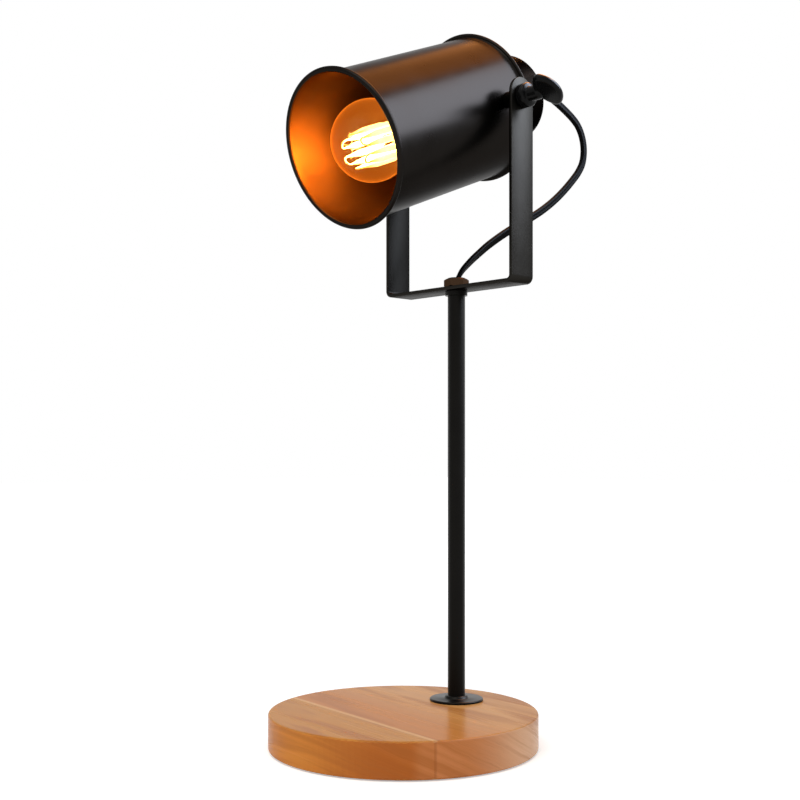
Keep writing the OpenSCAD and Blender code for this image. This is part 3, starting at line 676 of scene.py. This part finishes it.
def rim_curves(rim_r, reach, depth, bead_r, meet_angle):
    """Flare and rolled bead of one rim: outer curve, bead and inner curve as (radius, height)."""
    flare_steps = 12
    bead_steps = 24
    mid = FLARE_R + SHADE_WALL / 2
    axis_r = SHADE_R + FLARE_R
    turn = math.acos((rim_r - bead_r - axis_r) / mid)
    base = reach - bead_r - mid * math.sin(turn)
    bead = (axis_r + mid * math.cos(turn), base + mid * math.sin(turn))

    def bead_angle(point):
        """Direction of a point from the bead's middle in degrees."""
        return math.degrees(math.atan2(point[1] - bead[1], point[0] - bead[0]))

    hidden = math.acos((FLARE_R ** 2 + mid ** 2 - bead_r ** 2) / (2 * FLARE_R * mid))
    outer = arc(axis_r, base, FLARE_R, 180, math.degrees(turn + hidden), flare_steps)
    meet = (bead[0] - bead_r * math.cos(meet_angle), bead[1] - bead_r * math.sin(meet_angle))
    inner = sweep_curve(meet, reach, depth)
    start = bead_angle(outer[-1])
    sweep = (bead_angle(inner[0]) - start) % 360
    roll = arc(*bead, bead_r, start, start + sweep, bead_steps)[1:-1]
    return outer, roll, inner


def make_shade():
    """Sheet of the shade as one closed profile with a rolled edge at each rim."""
    gold_bead_steps = 4
    mouth_meet = 0.0
    tail_meet = 0.3
    wall_stations = (60, 25, -PLATE_BACK)
    outer, roll, inner = rim_curves(MOUTH_R, MOUTH_REACH, MOUTH_SWEEP, MOUTH_BEAD_R, mouth_meet)
    tail_rim = rim_curves(TAIL_R, TAIL_REACH, TAIL_SWEEP, TAIL_BEAD_R, tail_meet)
    tail = [[(r, -s) for r, s in curve] for curve in tail_rim]
    wall = [(SHADE_R - SHADE_WALL, s) for s in wall_stations]
    black = tail[0][::-1] + outer + roll
    gold = inner + wall
    profile = black + gold + tail[2][::-1] + tail[1][::-1]
    slots = [0] * len(profile)
    for i in range(len(black) - gold_bead_steps, len(black) + len(gold) - 1):
        slots[i] = 1
    obj = lathe("shade_sheet", profile, head_matrix(), segments=192, closed=True, slots=slots,
                sharp_deg=60)
    settle(obj, "head", ["shade"], "shade_paint", MATERIALS["shade_paint"], MATERIALS["gold"])


make_shade()


# Socket cup, strain relief and bulb on the head's axis
def make_cup():
    """Spun cup with a round back edge and a flange that lies on the rear plate."""
    back = -CUP_REACH
    rim = -PLATE_BACK
    hole_r = 4.6
    corner_r = 1.0
    lip_r = 0.4
    centre_r = CUP_R - CUP_EDGE_R
    profile = [(hole_r, back + CUP_WALL), (hole_r, back)]
    profile += arc(centre_r, back + CUP_EDGE_R, CUP_EDGE_R, -90, 0, 10)
    profile += arc(CUP_R + corner_r, rim - CUP_WALL - corner_r, corner_r, 180, 90, 5)
    profile += arc(CUP_FLANGE_R - lip_r, rim - CUP_WALL + lip_r, lip_r, -90, 0, 3)
    profile += [(CUP_FLANGE_R, rim), (CUP_R - CUP_WALL, rim)]
    profile += arc(centre_r, back + CUP_EDGE_R, CUP_EDGE_R - CUP_WALL, 0, -90, 8)
    obj = lathe("socket_cup_spun", profile, head_matrix(), segments=128, closed=True)
    settle(obj, "head", ["socket_cup"], "shade_paint", MATERIALS["cup_paint_shaded"])


make_cup()


def make_relief():
    """Moulded strain relief with grip rings along its taper."""
    full_r = 6.0
    tip_r = 3.5
    neck_r = 4.3
    taper_l = 11.5
    taper_end = 12.4
    inner_t = 2.6
    rings = 5
    first_ring = 1.5
    ring_pitch = 2.1
    # Points of one grip ring, from the taper's radius and the ring's start
    ring_form = ((0.0, 0.0), (0.2, 0.25), (0.25, 1.0), (-0.35, 1.25), (-0.3, 1.85))
    back = -CUP_REACH
    tip = back - RELIEF_L
    inside = back + CUP_WALL
    profile = [(0, tip), (tip_r - 0.6, tip), (tip_r, tip + 0.5)]
    for i in range(rings):
        s = tip + first_ring + i * ring_pitch
        r = tip_r + (s - tip) * (full_r - tip_r) / taper_l
        profile += [(r + dr, s + ds) for dr, ds in ring_form]
    profile += [(full_r, tip + taper_end), (full_r, back - 0.6), (full_r - 0.4, back)]
    profile += [(neck_r, back), (neck_r, inside), (full_r, inside)]
    profile += [(full_r, inside + inner_t), (0, inside + inner_t)]
    obj = lathe("strain_relief_ribbed", profile, head_matrix(), segments=48, sharp_deg=50)
    settle(obj, "head", ["strain_relief"], "black_rubber", MATERIALS["black_rubber"])


make_relief()


def make_bulb():
    """Globe of the bulb with its drawn neck, which goes into the cap."""
    neck_end = -44
    collar_r = 12.6
    mouth_r = 11.4
    seat = 2.9
    # Radius of the neck and distance behind the globe's centre
    neck = ((14.6, 16.4), (13.5, 18.8), (12.9, 21.4), (collar_r, 24))
    profile = arc(0, BULB_S, BULB_R, 90, neck_end, 40)
    profile += [(r, BULB_S - behind) for r, behind in neck]
    profile += [(collar_r, CAP_FRONT), (mouth_r, CAP_FRONT - seat)]
    obj = lathe("bulb_globe", profile, head_matrix(), segments=128, sharp_deg=60)
    settle(obj, "head", ["bulb_glass"], "amber_glass", MATERIALS["amber_glass"])


make_bulb()


def tube_into(bm, line, radius_at, sides):
    """Round tube along a line that stands about the Z axis, with a radius for each point."""
    rings = []
    for i, p in enumerate(line):
        d = direction_at(line, i)
        out = Vector((p.x, p.y, 0))
        out = (out - d * out.dot(d)).normalized()
        side = d.cross(out)
        ring = []
        for k in range(sides):
            a = 2 * math.pi * k / sides
            ring.append(bm.verts.new(p + radius_at(p) * (math.cos(a) * out + math.sin(a) * side)))
        rings.append(ring)
    skin_into(bm, rings)


def make_filament():
    """Zigzag of hairpins that stands as a cage round the stem."""
    strands = 12
    cage_r = 9.3
    cage_turn = math.radians(10)
    drop = 3.0
    pin_steps = 8
    spacing = 2.0
    thin_r = 0.5
    swell_r = 1.35
    thin_front = 3.0
    front_taper = 10.0
    back_taper = 6.0
    step = 2 * math.pi / strands
    pin_r = cage_r * math.sin(step / 2)
    feet = [Vector((cage_r * math.cos(step * i), cage_r * math.sin(step * i), 0))
            for i in range(strands)]
    ends = Vector((0, 0, CAGE_BACK + pin_r))
    line = [feet[0] + ends]
    for i, (p, q) in enumerate(zip(feet, feet[1:])):
        side = 1 if i % 2 == 0 else -1
        top = CAGE_FRONT if side > 0 else CAGE_BACK
        for k in range(pin_steps + 1):
            a = math.pi * k / pin_steps
            up = Vector((0, 0, top + side * pin_r * (math.sin(a) - 1)))
            line.append((p + q) / 2 - math.cos(a) * (q - p) / 2 + up)
    line.append(feet[-1] + ends)
    dense = []
    for a, b in zip(line, line[1:]):
        steps = max(1, round((b - a).length / spacing))
        dense += [a.lerp(b, k / steps) for k in range(steps)]
    dense.append(line[-1])

    def wire_r(p):
        """Strands are drawn thicker than their wire, as their glow is in the photograph."""
        from_front = (CAGE_FRONT - thin_front - p.z) / front_taper
        from_back = (p.z - CAGE_BACK) / back_taper
        swell = min(from_front, from_back)
        return thin_r + swell_r * min(1.0, max(0.0, swell))

    bm = bmesh.new()
    tube_into(bm, dense, wire_r, sides=8)
    place = Matrix.Translation((0, -drop * MM, 0)) @ Matrix.Rotation(cage_turn, 4, "Z")
    obj = new_object("hairpin_filament", bm, head_matrix() @ place, sharp_deg=60)
    obj.visible_shadow = False
    settle(obj, "head", ["bulb_filament"], "filament_metal", MATERIALS["filament_metal"])


make_filament()


def add_bulb_light(s, power):
    """Part of the lit bulb's light, at one place along the filament. It rides with the head."""
    light_r = 8.0
    data = bpy.data.lights.new("bulb_light", "POINT")
    data.color = (1.0, 0.9, 0.55)
    data.energy = power
    data.shadow_soft_size = light_r * MM
    light = bpy.data.objects.new("bulb_light", data)
    bpy.context.collection.objects.link(light)
    light.location = head_matrix() @ Vector((0, 0, s * MM))
    light.visible_camera = False
    light.visible_transmission = False
    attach(light, "head")


add_bulb_light(CAGE_BACK + 7.0, power=0.5)
add_bulb_light(CAGE_FRONT - 5.0, power=0.2)


# Yoke bent from flat strip, with eased edges
def make_yoke():
    """U of strip with round leg tops, made from stations round the U."""
    bend_steps = 8
    top_steps = 24
    half = YOKE_HALF
    round_z = YOKE_HIGH.z - CROSSBAR_Z - STRIP_W / 2
    bm = bmesh.new()

    def bends(r):
        """Both bends of the U on its outer or inner face."""
        left = arc(-half + BEND_R, BEND_R, r, 180, 270, bend_steps)
        return left + arc(half - BEND_R, BEND_R, r, 270, 360, bend_steps)

    def station(o, i):
        """Four corners of the strip from an outer and an inner point."""
        rows = []
        for y in (-STRIP_W / 2, STRIP_W / 2):
            rows.append((bm.verts.new((o[0], y, o[1])), bm.verts.new((i[0], y, i[1]))))
        return rows

    # Bends and crossbar between the two legs
    path = [station((-half, round_z), (-half + STRIP_T, round_z))]
    for o, i in zip(bends(BEND_R), bends(BEND_R - STRIP_T)):
        path.append(station(o, i))
    path.append(station((half, round_z), (half - STRIP_T, round_z)))
    for a, b in zip(path, path[1:]):
        (ao0, ai0), (ao1, ai1) = a
        (bo0, bi0), (bo1, bi1) = b
        bm.faces.new((ao0, bo0, bo1, ao1))
        bm.faces.new((ai0, ai1, bi1, bi0))
        bm.faces.new((ao0, ai0, bi0, bo0))
        bm.faces.new((ao1, bo1, bi1, ai1))

    # Half round at the top of each leg
    for end, side in ((path[0], -1), (path[-1], 1)):
        (o0, i0), (o1, i1) = end
        outs = [o0]
        ins = [i0]
        for k in range(1, top_steps):
            a = math.pi - math.pi * k / top_steps
            y = STRIP_W / 2 * math.cos(a)
            z = round_z + STRIP_W / 2 * math.sin(a)
            outs.append(bm.verts.new((side * half, y, z)))
            ins.append(bm.verts.new((side * (half - STRIP_T), y, z)))
        outs.append(o1)
        ins.append(i1)
        bm.faces.new(outs)
        bm.faces.new(ins)
        for k in range(len(outs) - 1):
            bm.faces.new((outs[k], outs[k + 1], ins[k + 1], ins[k]))

    # Eased edges
    bmesh.ops.recalc_face_normals(bm, faces=bm.faces)
    corner = math.radians(60)
    edges = [e for e in bm.edges if e.is_manifold and e.calc_face_angle() > corner]
    bmesh.ops.bevel(bm, geom=edges, offset=STRIP_EASE, segments=2, profile=0.5, affect="EDGES")

    # The strip's inner faces get a darker copy of the coat: painted shade
    inset = 0.75 * STRIP_T
    bm.normal_update()
    for face in bm.faces:
        middle = face.calc_center_median()
        on_wide_face = abs(face.normal.y) < 0.5
        if on_wide_face and abs(middle.x) < half - inset and middle.z > inset:
            face.material_index = 1
    obj = new_object("yoke_strip", bm, post_matrix(CROSSBAR_Z), sharp_deg=40)
    coats = (MATERIALS["yoke_paint"], MATERIALS["inner_painted_shade"])
    settle(obj, "yoke", ["yoke"], "black_paint", *coats)


make_yoke()


# Thumb screws: hub, neck and oval paddle
def oval_point(angle, inset):
    """Point of the paddle's four-arc outline where its normal has this angle."""
    half_w = PADDLE_W / 2
    end_x = PADDLE_L / 2 - PADDLE_END_R
    side_r = (end_x ** 2 + half_w ** 2 - PADDLE_END_R ** 2) / (PADDLE_W - 2 * PADDLE_END_R)
    drop = side_r - half_w
    x = math.cos(angle)
    y = math.sin(angle)
    if abs(y) * end_x < abs(x) * drop:
        r = PADDLE_END_R - inset
        return math.copysign(end_x, x) + r * x, r * y
    r = side_r - inset
    return r * x, r * y - math.copysign(drop, y)


def paddle_into(bm, centre, turn):
    """Oval plate with a rounded rim. Its plane holds the screw's line, Z."""
    around = 96
    levels = 7
    edge = PADDLE_T / 2
    spin = Matrix.Rotation(turn, 3, "Z")
    rings = []
    for j in range(-levels, levels + 1):
        a = math.pi / 2 * j / levels
        ring = []
        for k in range(around):
            angle = 2 * math.pi * (k + 0.5) / around
            x, z = oval_point(angle, edge * (1 - math.cos(a)))
            ring.append(bm.verts.new(spin @ Vector((x, edge * math.sin(a), centre + z))))
        rings.append(ring)
    skin_into(bm, rings)


def make_knob(side, name, node, body, turn_deg):
    """Thumb screw that stands out from one leg of the yoke."""
    bm = bmesh.new()
    low, high = node_box(node)
    hub = low.x if side > 0 else -high.x
    tip = high.x if side > 0 else -low.x
    neck = hub + HUB_H
    paddle = tip - PADDLE_W
    profile = [(STUD_R, hub), (HUB_R - 0.5, hub), (HUB_R, hub + 0.5)]
    profile += [(HUB_R, neck - 0.8), (HUB_R - 0.4, neck - 0.2), (HUB_R - 1.2, neck)]
    profile += [(NECK_R + 0.3, neck + 0.4), (NECK_R, neck + 1.2), (NECK_R, paddle + 1.0)]
    profile += [(NECK_R - 0.5, paddle + 2.6), (NECK_R - 1.7, paddle + 3.5), (0, paddle + 3.7)]
    lathe_into(bm, profile, segments=48, closed=False)
    paddle_into(bm, paddle + PADDLE_W / 2, math.radians(90 - turn_deg))
    obj = new_object(name, bm, pivot_matrix(side), sharp_deg=45)
    settle(obj, body, [node], "black_plastic", MATERIALS["black_plastic"])


make_knob(1, "right_thumb_grip", "right_thumb_knob", "right_knob", turn_deg=27)
make_knob(-1, "left_thumb_grip", "left_thumb_knob", "left_knob", turn_deg=62)


# Hardware on the post
def make_nut():
    """Hex nut on the crossbar, with chamfered corners on both faces and a bored middle."""
    around = 72
    low, high = node_box("top_nut")
    height = high.z - low.z
    flat = NUT_WIDTH / 2
    face_share = 0.95
    face_r = flat * face_share
    slope = math.tan(math.radians(30))
    sixth = math.pi / 3
    hexagon = []
    for k in range(around):
        local = (2 * math.pi * k / around + sixth / 2) % sixth - sixth / 2
        hexagon.append(flat / math.cos(local))
    levels = [
        [(POST_R, height)] * around,
        [(face_r, height)] * around,
        [(r, height - (r - face_r) * slope) for r in hexagon],
        [(r, (r - face_r) * slope) for r in hexagon],
        [(face_r, 0.0)] * around,
        [(POST_R, 0.0)] * around,
    ]
    bm = bmesh.new()
    rings = []
    for level in levels:
        ring = []
        for k, (r, h) in enumerate(level):
            a = 2 * math.pi * k / around
            ring.append(bm.verts.new((r * math.cos(a), r * math.sin(a), h)))
        rings.append(ring)
    skin_into(bm, rings, closed=True)
    turn = Matrix.Rotation(math.radians(NUT_TURN), 4, "Z")
    obj = new_object("crossbar_nut", bm, post_matrix(low.z) @ turn, sharp_deg=25)
    settle(obj, "stand", ["top_nut"], "black_paint", MATERIALS["nut_paint_warm_reflection"])


make_nut()


def make_rose():
    """Round flange with a rolled edge and a small collar round the post."""
    rim = node_box("rose")[1].x
    flange_t = 1.5
    edge_r = 0.75
    collar_r = 6.7
    top = 3.1
    profile = [(POST_R, 0), (rim - 0.4, 0), (rim, 0.3)]
    profile += arc(rim - edge_r, edge_r, edge_r, 0, 90, 6)
    profile += [(collar_r + 0.6, flange_t), (collar_r + 0.15, flange_t + 0.3)]
    profile += [(collar_r, top - 0.5), (collar_r - 0.3, top - 0.1), (collar_r - 0.8, top)]
    profile += [(POST_R, top)]
    place = post_matrix(FOOT_H)
    obj = lathe("post_rose", profile, place, segments=96, closed=True, sharp_deg=50)
    settle(obj, "stand", ["rose"], "black_paint", MATERIALS["black_paint"])


make_rose()


# Light and setting
def add_panel(name, direction, distance, size, color, power, glossy_only=False):
    """Rectangular soft light aimed at the lamp's head, in metres."""
    target = Vector((0, 0, 0.34))
    data = bpy.data.lights.new(name, "AREA")
    data.shape = "RECTANGLE"
    data.size, data.size_y = size
    data.color = color
    data.energy = power
    light = bpy.data.objects.new(name, data)
    bpy.context.collection.objects.link(light)
    aim = Vector(direction).normalized()
    light.location = target + aim * distance
    light.rotation_euler = aim.to_track_quat("Z", "Y").to_euler()
    light.visible_camera = False
    if glossy_only:
        light.visible_diffuse = False


def backdrop_strength(nodes, links, dim, bright):
    """Bright for camera, glossy and see-through rays, dim for the light that falls on things."""
    path = nodes.new("ShaderNodeLightPath")
    shown = path.outputs["Is Camera Ray"]
    for key in ("Is Glossy Ray", "Is Transmission Ray"):
        top = nodes.new("ShaderNodeMath")
        top.operation = "MAXIMUM"
        links.new(shown, top.inputs[0])
        links.new(path.outputs[key], top.inputs[1])
        shown = top.outputs[0]
    span = nodes.new("ShaderNodeMapRange")
    links.new(shown, span.inputs["Value"])
    span.inputs["To Min"].default_value = dim
    span.inputs["To Max"].default_value = bright
    return span.outputs["Result"]


def add_backdrop():
    """White world, dimmer for the light that falls on things."""
    world = bpy.data.worlds.new("studio")
    bpy.context.scene.world = world
    world.use_nodes = True
    nodes = world.node_tree.nodes
    links = world.node_tree.links
    background = nodes["Background"]
    background.inputs["Color"].default_value = (1, 1, 1, 1)
    strength = backdrop_strength(nodes, links, dim=0.55, bright=1.0)
    links.new(strength, background.inputs["Strength"])


def add_floor():
    """Pale floor that keeps a faint shadow, in metres."""
    half = 6
    under = 0.0002
    corners = [(-half, -half, 0), (half, -half, 0), (half, half, 0), (-half, half, 0)]
    mesh = bpy.data.meshes.new("floor")
    mesh.from_pydata(corners, [], [(0, 1, 2, 3)])
    floor = bpy.data.objects.new("floor", mesh)
    floor.location.z = -under
    bpy.context.collection.objects.link(floor)
    n = Nodes("pale_floor")
    speck = n.noise(n.place, 300.0, 2.0)
    n.to("Base Color", n.mix(speck, (0.9, 0.9, 0.9), (0.93, 0.93, 0.93)))
    n.set(Roughness=0.9, Specular_IOR_Level=0.0, Emission_Color=(1, 1, 1, 1))
    away = n.new("ShaderNodeVectorMath", operation="LENGTH")
    n.link(n.place, away.inputs[0])
    fade = n.span(away.outputs["Value"], 0.15, 0.9, 0.42, 0.72, True)
    shown = backdrop_strength(n.tree.nodes, n.tree.links, dim=0.0, bright=1.0)
    n.to("Emission Strength", n.math("MULTIPLY", fade, shown))
    mesh.materials.append(n.material)


bpy.context.scene.view_settings.view_transform = "Standard"
add_backdrop()
add_floor()
add_panel("key", (0.25, -0.55, 0.8), distance=1.4, size=(1.2, 1.0),
          color=(1.0, 0.98, 0.95), power=11.0)
add_panel("cool_side", (0.57, 0.63, 0.55), distance=1.25, size=(0.8, 0.95),
          color=(0.82, 0.93, 1.15), power=52.0, glossy_only=True)
add_panel("warm_top", (-0.05, 0.45, 0.89), distance=1.2, size=(0.84, 0.9),
          color=(1.0, 0.34, 0.05), power=34.0, glossy_only=True)
